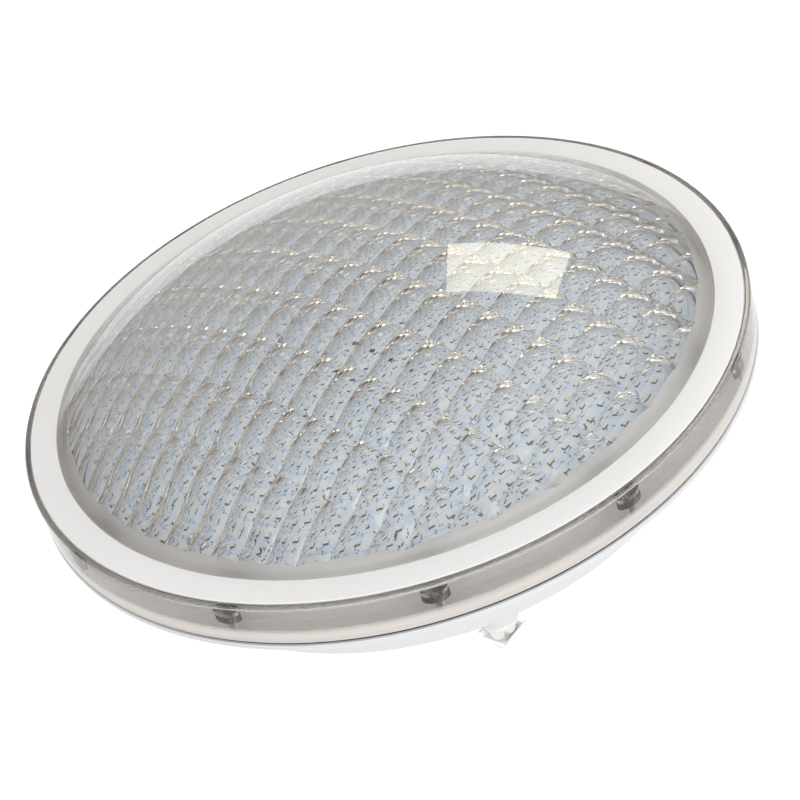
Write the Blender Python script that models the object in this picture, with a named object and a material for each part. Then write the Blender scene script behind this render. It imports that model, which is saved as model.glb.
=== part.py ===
"""Sealed underwater pool lamp, 178 mm rim: clear fluted lens, white rear dish, LED disc and two screw terminals.
Metres, +Z out through the lens; the origin is on the lamp axis in the rear seat plane of the rim."""
import math

import bmesh
import bpy
from mathutils import Matrix, Vector

mm = 0.001
SEG = 60                       # sides of every large round piece

# driving sizes
RIM_R = 88.5 * mm              # outside radius of the clear rim at its front edge
FACE_Z = 14.0 * mm             # front plane of the rim above the rear seat plane
DOME_RISE = 24.5 * mm          # top of the lens dome above the front plane
RING_IN, RING_OUT = RIM_R - 8.1 * mm, RIM_R - 1.5 * mm    # white trim ring
RING_T = 1.4 * mm
PANE_R = RIM_R - 12.5 * mm     # radius of the fluted window
LENS_T = 3.4 * mm              # lens thickness on the ridge lines
FLUTE_X, FLUTE_Y = 6.38 * mm, 13.7 * mm    # one lens cell across and along
ROW_SHIFT = -0.7 * mm          # where the middle row line crosses the Y axis
SCOOP_X, SCOOP_Y = 0.8 * mm, 1.2 * mm      # how far each cell is hollowed across and along
RIM_H = 10.0 * mm              # height of the clear rim below the front plane
SCREWS = 12
SCREW_R = RIM_R - 5.3 * mm     # radius of the screw and insert circle
FIRST = math.radians(15)
INSERT_H = 4.4 * mm            # height of the threaded inserts
GAP = 0.12 * mm                # clearance between stacked pieces
DISH_R, DISH_H = RIM_R - 8.5 * mm, 41.0 * mm    # rear dish radius and depth below the seat plane
WALL = 2.7 * mm
HUB_R, HUB_Z = 22.0 * mm, -66.0 * mm       # rear hub radius and the plane of its end
POST_X = 11.5 * mm             # half the distance between the two terminals
BOSS_R, BOSS_Z = 5.7 * mm, -78.0 * mm      # round terminal boss and its end
CELL = 6.9 * mm                # pitch of the LED rings
LED_L, LED_W, LED_H = 2.8 * mm, 2.1 * mm, 0.8 * mm
PLATE_R = PANE_R - 0.8 * mm    # heat plate and LED board radius

# derived
DOME_R = (RING_IN ** 2 + DOME_RISE ** 2) / (2 * DOME_RISE)
DOME_C = FACE_Z + DOME_RISE - DOME_R       # height of the dome's centre
RIM_BASE = FACE_Z - RIM_H
GASKET_T = 0.5 * mm
FLANGE_TOP = RIM_BASE - GASKET_T - 2 * GAP # outside the land, where the seam seal lies
LAND_TOP = RIM_BASE - GAP                  # raised land that carries the clear rim
LAND_R = SCREW_R + 3.2 * mm
BORE_R = PANE_R + 1.4 * mm     # inside of the rear shell
BOARD_T, PLATE_T = 1.6 * mm, 2.0 * mm
PLATE_Z = 0.9 * mm             # underside of the heat plate
BOARD_Z = PLATE_Z + PLATE_T + GAP
LED_TOP = BOARD_Z + BOARD_T + LED_H
POST_TOP = PLATE_Z - 0.2 * mm
LED_RINGS = min(10, int((PLATE_R - LED_W) / CELL))
PLATE_SCREW_R = (LED_RINGS - 0.5) * CELL      # between the two outer LED rings
PLATE_HEAD_R = min(2.2 * mm, (CELL - LED_W) / 2 - 0.15 * mm)
DRIVER_Z, DRIVER_T, DRIVER_R = -24.0 * mm, 1.6 * mm, 40.0 * mm
DRIVER_SCREW_R = 35.0 * mm
LEAD_X, LEAD_Y = 2.1 * mm, -2.8 * mm       # middle of the two lead holes in the light board

for old in list(bpy.data.objects):
    bpy.data.objects.remove(old, do_unlink=True)


def material(name, colour, metallic=0.0, roughness=0.4, clear=0.0):
    m = bpy.data.materials.new(name)
    m.use_nodes = True
    p = m.node_tree.nodes["Principled BSDF"]
    p.inputs["Base Color"].default_value = (*colour, 1.0)
    p.inputs["Metallic"].default_value = metallic
    p.inputs["Roughness"].default_value = roughness
    p.inputs["Transmission Weight"].default_value = clear
    p.inputs["IOR"].default_value = 1.58 if clear else 1.45
    return m


def finish(name, bm, mat, sharp=32, tool=False):
    bmesh.ops.remove_doubles(bm, verts=bm.verts, dist=1e-7)
    bmesh.ops.recalc_face_normals(bm, faces=bm.faces)
    mesh = bpy.data.meshes.new(name)
    bm.to_mesh(mesh)
    bm.free()
    mesh.shade_smooth()
    mesh.set_sharp_from_angle(angle=math.radians(sharp))
    ob = bpy.data.objects.new(name, mesh)
    bpy.context.scene.collection.objects.link(ob)
    if tool:
        ob.hide_render = True
        ob.display_type = "WIRE"
    else:
        mesh.materials.append(material(f"{name}_finish", *mat))
    return ob


def turn(bm, profile, seg=SEG, at=(0.0, 0.0), phase=0.0):
    """Adds the closed (r, z) profile turned about the vertical line through at; flat ends are one face."""
    rings = []
    for r, z in profile:
        spots = [phase + 2 * math.pi * k / seg for k in range(seg)] if r > 1e-9 else [0.0]
        rings.append([bm.verts.new((at[0] + r * math.cos(a), at[1] + r * math.sin(a), z)) for a in spots])
    for a, b in zip(rings, rings[1:] + rings[:1]):
        if len(a) == len(b) == 1:
            continue
        if 1 in (len(a), len(b)) and abs(a[0].co.z - b[0].co.z) < 1e-9:
            bm.faces.new(a if len(a) > 1 else b)
            continue
        for k in range(seg):
            n = (k + 1) % seg
            if len(a) == 1:
                bm.faces.new((a[0], b[n], b[k]))
            elif len(b) == 1:
                bm.faces.new((a[k], a[n], b[0]))
            else:
                bm.faces.new((a[k], a[n], b[n], b[k]))
    for v in [v for ring in rings for v in ring if not v.link_faces]:
        bm.verts.remove(v)


def turned(name, profile, mat=None, seg=SEG, at=(0.0, 0.0), phase=0.0, tool=False, sharp=32):
    bm = bmesh.new()
    turn(bm, profile, seg, at, phase)
    return finish(name, bm, mat, sharp, tool)


def block(bm, size, centre, angle=0.0):
    m = Matrix.Translation(centre) @ Matrix.Rotation(angle, 4, "Z") @ Matrix.Diagonal((*size, 1.0))
    bmesh.ops.create_cube(bm, size=1.0, matrix=m)


def boolean(ob, tool, how="DIFFERENCE"):
    mod = ob.modifiers.new(tool.name, "BOOLEAN")
    mod.operation = how
    mod.solver = "EXACT"
    mod.object = tool
    return mod


def around(count, radius, first=0.0):
    return [(radius * math.cos(first + 2 * math.pi * k / count),
             radius * math.sin(first + 2 * math.pi * k / count)) for k in range(count)]


def holes(name, spots, profile, seg=12):
    bm = bmesh.new()
    for p in spots:
        turn(bm, profile, seg, p, math.atan2(p[1], p[0]) + math.pi / seg)
    return finish(name, bm, None, tool=True)


def rod(r, z0, z1, r2=None):
    return [(0, z0), (r, z0), (r if r2 is None else r2, z1), (0, z1)]


# ---------------------------------------------------------------- clear front
def dome(r, drop=0.0):
    return math.sqrt((DOME_R - drop) ** 2 - r * r) + DOME_C


steps = 7
profile = [(0, FACE_Z + DOME_RISE)]
profile += [(RING_IN * k / steps, dome(RING_IN * k / steps)) for k in range(1, steps)]
profile += [(RING_IN - 0.15 * mm, FACE_Z + 0.1 * mm), (RING_IN - 0.15 * mm, FACE_Z - RING_T - GAP),
            (RING_OUT + 0.15 * mm, FACE_Z - RING_T - GAP), (RING_OUT + 0.15 * mm, FACE_Z),
            (RIM_R - 0.5 * mm, FACE_Z), (RIM_R, FACE_Z - 0.5 * mm), (RIM_R + 0.3 * mm, RIM_BASE), (0, RIM_BASE)]
lens = turned("front_lens", profile, ((0.95, 0.96, 0.97), 0.0, 0.04, 1.0))

# the hollow under the lens: its roof is a grid of shallow scoops, ridged where the cells meet
nx, ny = 3, 2
cols = int(PANE_R / FLUTE_X) + 2
rows = int(PANE_R / FLUTE_Y) + 2
xs = [(i / nx - cols) * FLUTE_X for i in range(nx * 2 * cols + 1)]
ys = [(j / ny - rows) * FLUTE_Y + ROW_SHIFT for j in range(ny * 2 * rows + 1)]
bm = bmesh.new()
grid = []
for y in ys:
    line = []
    for x in xs:
        u = x / FLUTE_X - 0.5 - round(x / FLUTE_X - 0.5)
        v = (y - ROW_SHIFT) / FLUTE_Y - 0.5 - round((y - ROW_SHIFT) / FLUTE_Y - 0.5)
        z = dome(min(math.hypot(x, y), PANE_R + 6 * mm), LENS_T)
        z += SCOOP_X * (1 - 4 * u * u) + SCOOP_Y * (1 - 4 * v * v)
        line.append(bm.verts.new((x, y, z)))
    grid.append(line)
for a, b in zip(grid, grid[1:]):
    for i in range(len(xs) - 1):
        bm.faces.new((a[i], a[i + 1], b[i + 1], b[i]))
edge = grid[0] + [g[-1] for g in grid[1:]] + grid[-1][-2::-1] + [g[0] for g in grid[-2:0:-1]]
low = [bm.verts.new((v.co.x, v.co.y, RIM_BASE - 5 * mm)) for v in edge]
for k in range(len(edge)):
    n = (k + 1) % len(edge)
    bm.faces.new((edge[k], low[k], low[n], edge[n]))
bm.faces.new(low)
scoops = finish("scoop_tool", bm, None, tool=True)
boolean(scoops, turned("pane_tool", rod(PANE_R, RIM_BASE - 6 * mm, FACE_Z + 40 * mm), tool=True), "INTERSECT")
boolean(lens, scoops)
pocket_r, pocket_top = 3.05 * mm, FACE_Z - RING_T - 0.5 * mm
insert_top = pocket_top - 0.15 * mm
insert_low = insert_top - INSERT_H
boolean(lens, holes("pocket_tool", around(SCREWS, SCREW_R, FIRST), rod(pocket_r, RIM_BASE - 1 * mm, pocket_top)))

turned("trim_ring", [(RING_IN, FACE_Z - RING_T), (RING_OUT, FACE_Z - RING_T), (RING_OUT, FACE_Z - 0.2 * mm),
                     (RING_OUT - 0.2 * mm, FACE_Z), (RING_IN + 0.2 * mm, FACE_Z), (RING_IN, FACE_Z - 0.2 * mm)],
       ((0.9, 0.9, 0.9), 0.0, 0.35))

# ------------------------------------------------------- inserts and rim screws
mid = (insert_top + insert_low) / 2
shank_r = 1.25 * mm
head_z = FLANGE_TOP - 1.4 * mm
for k, spot in enumerate(around(SCREWS, SCREW_R, FIRST), 1):
    turned(f"insert_{k:02d}", [(1.5 * mm, insert_low), (2.75 * mm, insert_low), (2.9 * mm, insert_low + 0.3 * mm),
                               (2.9 * mm, mid - 0.4 * mm), (2.45 * mm, mid - 0.25 * mm), (2.45 * mm, mid + 0.25 * mm),
                               (2.9 * mm, mid + 0.4 * mm), (2.9 * mm, insert_top), (1.5 * mm, insert_top)],
           ((0.55, 0.52, 0.48), 1.0, 0.35), seg=8, at=spot)
    turned(f"rim_screw_{k:02d}", [(0, insert_top - 1.2 * mm), (shank_r, insert_top - 1.5 * mm), (shank_r, head_z - GAP),
                                  (2.7 * mm, head_z - GAP), (2.7 * mm, head_z - 1.0 * mm), (1.9 * mm, head_z - 1.6 * mm),
                                  (1.0 * mm, head_z - 1.6 * mm), (0, head_z - 0.9 * mm)],
           ((0.6, 0.6, 0.62), 1.0, 0.3), seg=10, at=spot)

turned("rim_gasket", [(LAND_R + GAP, RIM_BASE - GAP), (LAND_R + GAP, RIM_BASE - GAP - GASKET_T),
                      (RIM_R - 0.1 * mm, RIM_BASE - GAP - GASKET_T), (RIM_R - 0.1 * mm, RIM_BASE - GAP)],
       ((0.02, 0.02, 0.02), 0.0, 0.8))

# ------------------------------------------------------------------- rear shell
arc = [math.radians(a) for a in (0, 10, 21, 33, 46, 59, 70)]
lip = RIM_R + 0.4 * mm
outer = [(0, LAND_TOP), (LAND_R, LAND_TOP), (LAND_R, FLANGE_TOP), (lip, FLANGE_TOP),
         (lip, FLANGE_TOP - 1.1 * mm), (lip - 2.3 * mm, 0)]
outer += [(DISH_R * math.cos(a), -DISH_H * math.sin(a)) for a in arc]
outer += [(HUB_R + 2.0 * mm, -DISH_H * 0.958), (HUB_R + 0.4 * mm, -DISH_H * 0.985),
          (HUB_R - 0.6 * mm, HUB_Z + 1.5 * mm), (HUB_R - 2.1 * mm, HUB_Z), (0, HUB_Z)]
shell = turned("rear_shell", outer, ((0.86, 0.86, 0.86), 0.0, 0.4))

bm = bmesh.new()
for k in range(8):
    a = math.radians(22.5 + 45 * k)
    side = Vector((-math.sin(a), math.cos(a), 0)) * 1.2 * mm
    rib = [(8 * mm, -20 * mm), (8 * mm, -54 * mm), (21 * mm, -54 * mm), (55 * mm, -29 * mm), (52 * mm, -20 * mm)]
    loops = [[bm.verts.new(Vector((r * math.cos(a), r * math.sin(a), z)) + s) for r, z in rib] for s in (side, -side)]
    bm.faces.new(loops[0])
    bm.faces.new(loops[1][::-1])
    for i in range(len(rib)):
        j = (i + 1) % len(rib)
        bm.faces.new((loops[0][i], loops[1][i], loops[1][j], loops[0][j]))
ribs = finish("rib_tool", bm, None, tool=True)
boolean(shell, ribs, "UNION").use_self = True
spots2 = [(POST_X, 0.0), (-POST_X, 0.0)]
boolean(shell, holes("boss_tool", spots2, [(0, HUB_Z + 2 * mm), (BOSS_R + 0.3 * mm, HUB_Z + 2 * mm),
                                           (BOSS_R, BOSS_Z + 0.5 * mm), (BOSS_R - 0.5 * mm, BOSS_Z), (0, BOSS_Z)], 24), "UNION")

inner = [(0, LAND_TOP + 1 * mm), (BORE_R, LAND_TOP + 1 * mm), (BORE_R, 0)]
inner += [((DISH_R - WALL) * math.cos(a), -(DISH_H - WALL) * math.sin(a)) for a in arc[1:]]
inner += [(HUB_R - WALL - 0.5 * mm, -DISH_H + WALL), (HUB_R - WALL - 1.2 * mm, HUB_Z + 3 * mm), (0, HUB_Z + 3 * mm)]
hollow = turned("hollow_tool", inner, tool=True)
plate_spots = around(3, PLATE_SCREW_R, math.radians(30))
driver_spots = around(3, DRIVER_SCREW_R, math.radians(90))
boolean(hollow, holes("plate_post_tool", plate_spots, rod(3.2 * mm, -50 * mm, POST_TOP)))
boolean(hollow, holes("driver_post_tool", driver_spots, rod(3.2 * mm, -60 * mm, DRIVER_Z - 0.15 * mm)))
boolean(shell, hollow)
boolean(shell, holes("rim_hole_tool", around(SCREWS, SCREW_R, FIRST),
                     [(0, LAND_TOP + 1 * mm), (1.6 * mm, LAND_TOP + 1 * mm), (1.6 * mm, head_z), (3.0 * mm, head_z),
                      (3.0 * mm, -1 * mm), (0, -1 * mm)]))
boolean(shell, holes("plate_hole_tool", plate_spots, rod(1.25 * mm, POST_TOP - 9 * mm, POST_TOP + 1 * mm), 10))
boolean(shell, holes("driver_hole_tool", driver_spots, rod(1.25 * mm, DRIVER_Z - 7 * mm, DRIVER_Z + 1 * mm), 10))
boolean(shell, holes("stud_hole_tool", spots2, rod(2.8 * mm, BOSS_Z - 1 * mm, HUB_Z + 8 * mm), 16))

# ------------------------------------------------------- heat plate, LED board
plate = turned("heat_plate", rod(PLATE_R, PLATE_Z, PLATE_Z + PLATE_T), ((0.75, 0.76, 0.78), 1.0, 0.4))
boolean(plate, holes("plate_clear_tool", plate_spots, rod(1.5 * mm, -5 * mm, 9 * mm), 10))
lead_spots = [(LEAD_X + 1.4 * mm, LEAD_Y), (LEAD_X - 1.4 * mm, LEAD_Y)]
boolean(plate, holes("plate_lead_tool", lead_spots, rod(1.2 * mm, -5 * mm, 9 * mm), 10))

board = turned("led_board", rod(PLATE_R, BOARD_Z, BOARD_Z + BOARD_T), ((0.88, 0.92, 0.97), 0.0, 0.3))
bm = bmesh.new()
for ring in range(1, LED_RINGS + 1):
    for k in range(6 * ring):
        a = 2 * math.pi * (k + 0.5 * (ring % 2)) / (6 * ring)
        block(bm, (LED_W, LED_L, LED_H + 0.5 * mm),
              (ring * CELL * math.cos(a), ring * CELL * math.sin(a), LED_TOP - LED_H / 2 - 0.25 * mm), a)
boolean(board, finish("led_tool", bm, None, tool=True), "UNION")
boolean(board, holes("board_clear_tool", plate_spots, rod(1.5 * mm, -5 * mm, 9 * mm), 10))
boolean(board, holes("board_lead_tool", lead_spots, rod(1.2 * mm, -5 * mm, 9 * mm), 10))
for k, spot in enumerate(plate_spots, 1):
    top = BOARD_Z + BOARD_T + GAP
    turned(f"plate_screw_{k}", [(0, top + 1.0 * mm), (0.8 * mm, top + 1.6 * mm), (1.5 * mm, top + 1.6 * mm),
                                (PLATE_HEAD_R, top + 0.9 * mm), (PLATE_HEAD_R, top), (1.0 * mm, top),
                                (1.0 * mm, POST_TOP - 6 * mm), (0, POST_TOP - 7 * mm)], ((0.6, 0.6, 0.62), 1.0, 0.3), seg=10, at=spot)

# ----------------------------------------------------------------- driver board
driver = turned("driver_board", rod(DRIVER_R, DRIVER_Z, DRIVER_Z + DRIVER_T), ((0.03, 0.22, 0.1), 0.0, 0.35), seg=48)
boolean(driver, holes("driver_clear_tool", driver_spots, rod(1.5 * mm, DRIVER_Z - 2 * mm, DRIVER_Z + 4 * mm), 10))
top = DRIVER_Z + DRIVER_T + 0.1 * mm
for k, spot in enumerate(driver_spots, 1):
    turned(f"driver_screw_{k}", [(0, top + 1.0 * mm), (0.8 * mm, top + 1.6 * mm), (1.5 * mm, top + 1.6 * mm),
                                 (2.2 * mm, top + 0.9 * mm), (2.2 * mm, top), (1.0 * mm, top), (1.0 * mm, top - 5.5 * mm),
                                 (0, top - 6.2 * mm)], ((0.6, 0.6, 0.62), 1.0, 0.3), seg=10, at=spot)
for k, spot in enumerate([(18 * mm, 16 * mm), (18 * mm, -16 * mm)], 1):
    turned(f"capacitor_{k}", [(0, top), (5.9 * mm, top), (6.25 * mm, top + 0.6 * mm), (6.25 * mm, top + 1.8 * mm),
                              (5.9 * mm, top + 2.3 * mm), (6.25 * mm, top + 2.8 * mm), (6.25 * mm, top + 15.4 * mm),
                              (5.6 * mm, top + 16 * mm), (0, top + 16 * mm)], ((0.05, 0.06, 0.1), 0.0, 0.35), seg=18, at=spot)
turned("choke", [(3.6 * mm, top), (8.4 * mm, top), (9.2 * mm, top + 1.2 * mm), (9.2 * mm, top + 6.8 * mm),
                 (8.4 * mm, top + 8 * mm), (3.6 * mm, top + 8 * mm), (2.8 * mm, top + 6.8 * mm), (2.8 * mm, top + 1.2 * mm)],
       ((0.45, 0.18, 0.06), 0.6, 0.4), seg=18, at=(-18 * mm, -14 * mm))
for name, size, spot, mat in (("rectifier", (15, 4.2, 11), (-20, 16), ((0.03, 0.03, 0.03), 0.0, 0.45)),
                              ("control_chip", (10, 6, 1.8), (-2, -26), ((0.02, 0.02, 0.02), 0.0, 0.5)),
                              ("switch_transistor", (10, 4.5, 15), (30, 0), ((0.03, 0.03, 0.03), 0.0, 0.45))):
    bm = bmesh.new()
    w, d, h = (s * mm for s in size)
    block(bm, (w, d, h), (spot[0] * mm, spot[1] * mm, top + h / 2))
    bmesh.ops.bevel(bm, geom=bm.edges[:], offset=0.3 * mm, segments=1, affect="EDGES")
    finish(name, bm, mat)

# ------------------------------------------------------------ rear terminals
collar = BOSS_Z - 1.0 * mm
seat = collar - 5.0 * mm        # face the wire clamps against
clamp_t = 1.2 * mm
for k, (x, y) in enumerate(spots2, 1):
    turned(f"terminal_seal_{k}", [(2.9 * mm, BOSS_Z - 0.1 * mm), (2.9 * mm, collar + 0.1 * mm), (4.9 * mm, collar + 0.1 * mm),
                                  (4.9 * mm, BOSS_Z - 0.1 * mm)], ((0.02, 0.02, 0.02), 0.0, 0.8), seg=20, at=(x, y))
    post = turned(f"terminal_post_{k}", [(0, HUB_Z + 11.5 * mm), (2.0 * mm, HUB_Z + 11.5 * mm), (2.4 * mm, HUB_Z + 11 * mm),
                                         (2.4 * mm, collar), (4.9 * mm, collar), (4.9 * mm, collar - 1.4 * mm),
                                         (4.2 * mm, collar - 1.6 * mm), (4.2 * mm, seat + 0.3 * mm), (3.9 * mm, seat),
                                         (2.0 * mm, seat), (2.0 * mm, seat + 9.5 * mm), (0, seat + 10 * mm)],
                  ((0.8, 0.62, 0.32), 1.0, 0.3), seg=18, at=(x, y))
    turned(f"post_nut_{k}", [(2.9 * mm, HUB_Z + 3.3 * mm), (4.4 * mm, HUB_Z + 3.3 * mm), (4.6 * mm, HUB_Z + 3.6 * mm),
                             (4.6 * mm, HUB_Z + 7 * mm), (4.4 * mm, HUB_Z + 7.3 * mm), (2.9 * mm, HUB_Z + 7.3 * mm)],
           ((0.8, 0.62, 0.32), 1.0, 0.3), seg=6, at=(x, y))
    # saddle clamp: plate with two lips turned towards the post
    bm = bmesh.new()
    block(bm, (10.4 * mm, 9.0 * mm, clamp_t), (x, y, seat - 0.2 * mm - clamp_t / 2))
    clamp = finish(f"wire_clamp_{k}", bm, ((0.75, 0.73, 0.68), 1.0, 0.3))
    bm = bmesh.new()
    for s in (-1, 1):
        block(bm, (0.9 * mm, 9.0 * mm, 2.6 * mm), (x + s * 4.75 * mm, y, seat - 0.2 * mm - clamp_t + 1.3 * mm))
    boolean(clamp, finish(f"lip_tool_{k}", bm, None, tool=True), "UNION")
    boolean(clamp, holes(f"clamp_hole_tool_{k}", [(x, y)], rod(2.3 * mm, seat - 5 * mm, seat + 2 * mm), 16))
    under = seat - 0.2 * mm - clamp_t - 0.2 * mm
    screw = turned(f"terminal_screw_{k}", [(0, seat + 8.0 * mm), (1.3 * mm, seat + 7.6 * mm), (1.65 * mm, seat + 7.2 * mm),
                                           (1.65 * mm, under), (3.9 * mm, under), (3.9 * mm, under - 1.8 * mm),
                                           (3.0 * mm, under - 2.6 * mm), (0, under - 2.9 * mm)],
                   ((0.75, 0.74, 0.72), 1.0, 0.28), seg=18, at=(x, y))
    bm = bmesh.new()
    for s in (0, 1):
        block(bm, (1.1 * mm, 5.6 * mm, 1.4 * mm), (x, y, under - 2.9 * mm), s * math.pi / 2)
    boolean(screw, finish(f"slot_tool_{k}", bm, None, tool=True)).use_self = True


# ------------------------------------------------------------------------ leads
def lead(name, points, radius, mat, seg=6, per=3):
    pts = [Vector(p) for p in points]
    path = []
    for i in range(len(pts) - 1):
        p0, p1, p2, p3 = pts[max(i - 1, 0)], pts[i], pts[i + 1], pts[min(i + 2, len(pts) - 1)]
        for s in range(per):
            t = s / per
            path.append(0.5 * (2 * p1 + (p2 - p0) * t + (2 * p0 - 5 * p1 + 4 * p2 - p3) * t * t
                               + (3 * p1 - p0 - 3 * p2 + p3) * t ** 3))
    path.append(pts[-1])
    bm = bmesh.new()
    rings, ref = [], Vector((1, 0, 0))
    for i, p in enumerate(path):
        d = (path[min(i + 1, len(path) - 1)] - path[max(i - 1, 0)]).normalized()
        ref = (ref - d * ref.dot(d)).normalized()
        up = d.cross(ref)
        turns = [2 * math.pi * k / seg for k in range(seg)]
        rings.append([bm.verts.new(p + radius * (ref * math.cos(t) + up * math.sin(t))) for t in turns])
    for a, b in zip(rings, rings[1:]):
        for k in range(seg):
            bm.faces.new((a[k], a[(k + 1) % seg], b[(k + 1) % seg], b[k]))
    bm.faces.new(rings[0][::-1])
    bm.faces.new(rings[-1])
    finish(name, bm, mat, sharp=50)


for k, s in ((1, 1), (2, -1)):
    x = LEAD_X + s * 1.4 * mm
    lead(f"led_lead_{k}", [(s * 4.2 * mm, 8 * mm, top + 0.2 * mm), (s * 4.2 * mm, 6 * mm, top + 6 * mm),
                           (x, LEAD_Y + 1.5 * mm, -8 * mm), (x, LEAD_Y, -3 * mm), (x, LEAD_Y, PLATE_Z - 0.5 * mm),
                           (x, LEAD_Y, BOARD_Z + BOARD_T + 0.6 * mm)], 0.8 * mm, ((0.02, 0.02, 0.02), 0.0, 0.5))
    under = DRIVER_Z - 0.3 * mm
    lead(f"input_lead_{k}", [(s * 7 * mm, -4 * mm, under), (s * 7 * mm, -4 * mm, under - 6 * mm),
                             (s * 10 * mm, -2 * mm, under - 17 * mm), (s * POST_X, 0, HUB_Z + 20 * mm),
                             (s * POST_X, 0, HUB_Z + 11.8 * mm)], 1.0 * mm, ((0.85, 0.85, 0.82), 0.0, 0.5))
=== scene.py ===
import math

import bmesh
import bpy
import numpy as np
from mathutils import Matrix, Vector


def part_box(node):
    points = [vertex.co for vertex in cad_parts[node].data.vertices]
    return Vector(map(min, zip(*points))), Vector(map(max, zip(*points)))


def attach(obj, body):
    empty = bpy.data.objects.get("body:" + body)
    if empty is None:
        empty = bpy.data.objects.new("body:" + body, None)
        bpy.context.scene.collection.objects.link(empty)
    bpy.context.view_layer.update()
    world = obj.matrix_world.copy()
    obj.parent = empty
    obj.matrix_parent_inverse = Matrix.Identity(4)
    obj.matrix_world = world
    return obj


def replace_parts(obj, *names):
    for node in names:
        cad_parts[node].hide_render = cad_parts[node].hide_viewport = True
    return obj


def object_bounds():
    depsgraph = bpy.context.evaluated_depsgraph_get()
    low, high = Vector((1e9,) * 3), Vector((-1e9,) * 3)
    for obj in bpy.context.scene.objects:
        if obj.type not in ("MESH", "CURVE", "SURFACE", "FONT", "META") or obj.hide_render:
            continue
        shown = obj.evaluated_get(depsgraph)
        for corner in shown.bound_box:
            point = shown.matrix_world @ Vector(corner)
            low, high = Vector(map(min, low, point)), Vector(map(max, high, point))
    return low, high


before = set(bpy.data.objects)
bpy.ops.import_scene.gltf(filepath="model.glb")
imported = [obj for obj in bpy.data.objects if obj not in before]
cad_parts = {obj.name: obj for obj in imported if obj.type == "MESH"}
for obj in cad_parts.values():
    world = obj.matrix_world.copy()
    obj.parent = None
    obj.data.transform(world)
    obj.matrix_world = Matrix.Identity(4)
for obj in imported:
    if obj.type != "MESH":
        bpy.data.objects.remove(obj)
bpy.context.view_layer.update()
mm = 0.001

# ============================================================== rear shell
# One white plastic moulding: a deep dish with a flanged rim, a raised land that carries the clear front, a hub,
# eight webs and two terminal bosses. The moulding tool leaves a fine parting line round the lip and a soft grain.
SHELL_LOW, SHELL_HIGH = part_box("rear_shell")
SEAL_LOW, SEAL_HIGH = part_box("rim_gasket")
LIP_R, LAND_TOP = SHELL_HIGH.x, SHELL_HIGH.z
FLANGE_TOP = SEAL_LOW.z - 0.12 * mm
DISH_R, DISH_H, WALL = 80.0 * mm, 41.0 * mm, 2.7 * mm
HUB_R, HUB_Z = 22.0 * mm, -66.0 * mm
BOSS_R, BOSS_Z = 5.7 * mm, SHELL_LOW.z
POST_X = (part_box("terminal_post_1")[0].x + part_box("terminal_post_1")[1].x) / 2
BORE_R = 77.4 * mm
SCREW_LOW, SCREW_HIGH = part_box("rim_screw_01")
SCREW_R = Vector(((SCREW_LOW.x + SCREW_HIGH.x) / 2, (SCREW_LOW.y + SCREW_HIGH.y) / 2)).length
SCREWS = 12
SCREW_TURNS = [math.radians(15 + 30 * k) for k in range(SCREWS)]
LAND_R = SCREW_R + 3.2 * mm
HEAD_SEAT = FLANGE_TOP - 1.4 * mm
FIT = 0.12 * mm
# The white shell is coloured light grey: a painted shade standing in for the shade it lies in under the clear rim.
SHELL_GREY_PAINTED_SHADE = (0.55, 0.55, 0.555)


def lathe(name, profile, seg=192, at=(0.0, 0.0), sharp=38):
    """A closed mesh turned from (r, z) points about the upright line through at; a point may carry a fillet radius."""
    pts = []
    count = len(profile)
    for i, p in enumerate(profile):
        here = Vector(p[:2])
        if len(p) == 2:
            pts.append(here)
            continue
        before, after = Vector(profile[i - 1][:2]), Vector(profile[(i + 1) % count][:2])
        a, b = (before - here).normalized(), (after - here).normalized()
        cut = min(p[2], 0.45 * (before - here).length, 0.45 * (after - here).length)
        steps = 5
        for s in range(steps + 1):
            t = s / steps
            pts.append(here + a * cut * (1 - t) ** 2 + b * cut * t ** 2)
    bm = bmesh.new()
    rings = []
    for p in pts:
        if p.x < 1e-9:
            rings.append([bm.verts.new((at[0], at[1], p.y))])
        else:
            rings.append([bm.verts.new((at[0] + p.x * math.cos(2 * math.pi * k / seg),
                                        at[1] + p.x * math.sin(2 * math.pi * k / seg), p.y)) for k in range(seg)])
    for a, b in zip(rings, rings[1:] + rings[:1]):
        if len(a) == len(b) == 1:
            continue
        for k in range(seg):
            n = (k + 1) % seg
            if len(a) == 1:
                bm.faces.new((a[0], b[n], b[k]))
            elif len(b) == 1:
                bm.faces.new((a[k], a[n], b[0]))
            else:
                bm.faces.new((a[k], a[n], b[n], b[k]))
    return settle(name, bm, sharp)


def settle(name, bm, sharp=38):
    """Merges doubles, turns every face outwards and links the mesh, smooth but for edges over sharp degrees."""
    bmesh.ops.remove_doubles(bm, verts=bm.verts, dist=1e-7)
    bmesh.ops.recalc_face_normals(bm, faces=bm.faces)
    mesh = bpy.data.meshes.new(name)
    bm.to_mesh(mesh)
    bm.free()
    mesh.shade_smooth()
    mesh.set_sharp_from_angle(angle=math.radians(sharp))
    ob = bpy.data.objects.new(name, mesh)
    bpy.context.scene.collection.objects.link(ob)
    return ob


def joined(ob, tools, how="DIFFERENCE", sharp=38, solver="EXACT"):
    """Cuts or adds the tools and keeps the result as ob's own mesh."""
    for tool in tools:
        mod = ob.modifiers.new("cut", "BOOLEAN")
        mod.operation, mod.solver, mod.object = how, solver, tool
    mesh = bpy.data.meshes.new_from_object(ob.evaluated_get(bpy.context.evaluated_depsgraph_get()))
    ob.modifiers.clear()
    ob.data = mesh
    mesh.shade_smooth()
    mesh.set_sharp_from_angle(angle=math.radians(sharp))
    for tool in tools:
        bpy.data.objects.remove(tool)
    return ob


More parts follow.
